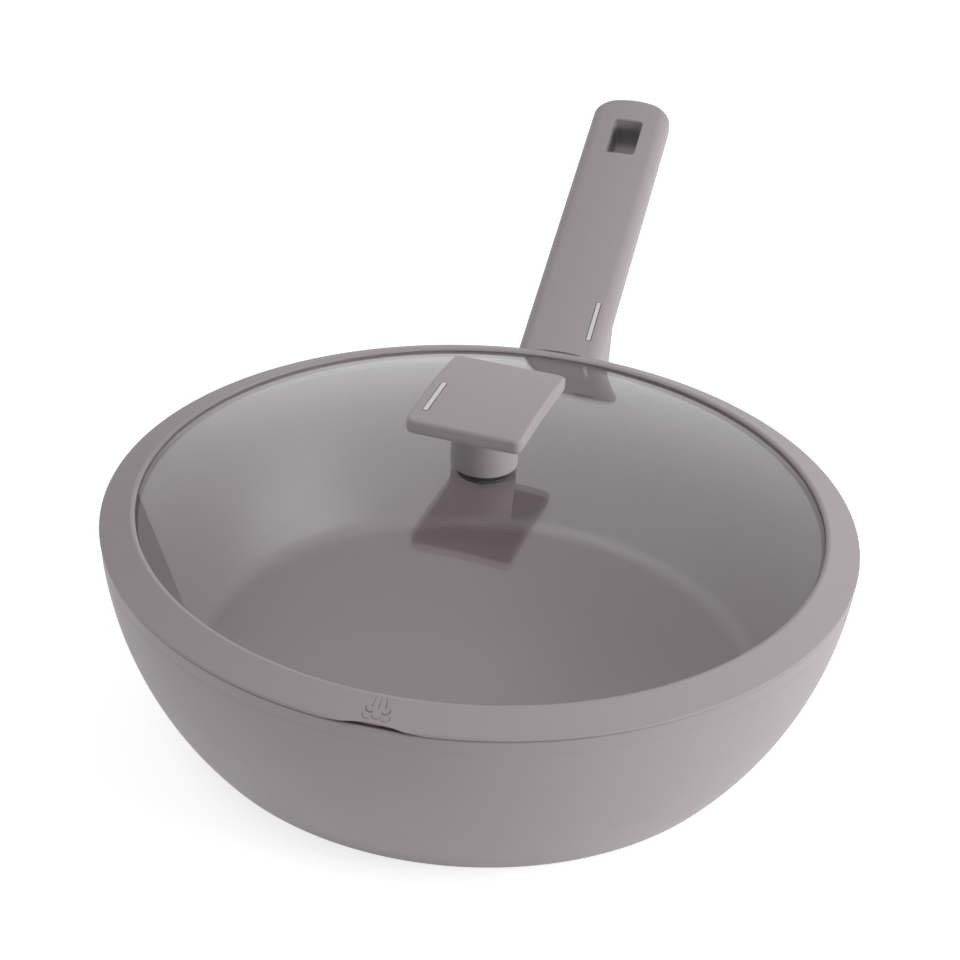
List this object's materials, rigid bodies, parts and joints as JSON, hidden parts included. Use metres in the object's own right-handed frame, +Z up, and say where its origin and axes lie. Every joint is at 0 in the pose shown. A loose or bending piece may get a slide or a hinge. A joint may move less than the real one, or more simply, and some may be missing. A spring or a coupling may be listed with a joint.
{
  "type": "wok with lid",
  "caption": "Deep bowed pan with a long handle and a hanging hole, and a clear domed lid in a soft rim with a flat knob.",
  "frame": {"origin": "centre of the flat base, on the surface that the wok stands on", "axes": "+Z up, +X from the wok's axis along the handle, +Y to the left of someone looking along the handle from the wok"},
  "size_m": [0.4625, 0.2906, 0.1345],
  "materials": {
    "wok_body": "forged aluminium with a taupe lacquer outside and a fine-grained non-stick coating inside",
    "induction_disc": "spun magnetic stainless steel",
    "handle_bracket": "bare forged aluminium",
    "weld_studs": "bare, upset heads",
    "handle_grip": "moulded phenolic with a taupe soft-touch coat",
    "handle_screw": "stainless steel",
    "handle_washer": "spring steel",
    "handle_strip": "polished metal strip",
    "lid_ring": "matt taupe silicone",
    "lid_glass": "clear tempered glass",
    "knob_grip": "moulded phenolic with a taupe soft-touch coat",
    "knob_insert": "turned brass",
    "knob_strip": "polished metal strip",
    "knob_gasket": "black silicone",
    "under_gasket": "black silicone",
    "cup_washer": "stainless steel",
    "knob_screw": "stainless steel"
  },
  "bodies": {
    "wok": {"wok_body": "wok_body", "induction_disc": "induction_disc", "handle_bracket": "handle_bracket", "weld_studs": "weld_studs", "handle_grip": "handle_grip", "handle_screw": "handle_screw", "handle_washer": "handle_washer", "handle_strip": "handle_strip"},
    "lid": {"lid_ring": "lid_ring", "lid_glass": "lid_glass", "knob_grip": "knob_grip", "knob_insert": "knob_insert", "knob_strip": "knob_strip", "knob_gasket": "knob_gasket", "under_gasket": "under_gasket", "cup_washer": "cup_washer", "knob_screw": "knob_screw"}
  },
  "joints": [
    {"name": "lid_lift", "type": "slide", "parent": "wok", "child": "lid", "axis": [0, 0, 1], "range_m": [0, 0.15]}
  ]
}
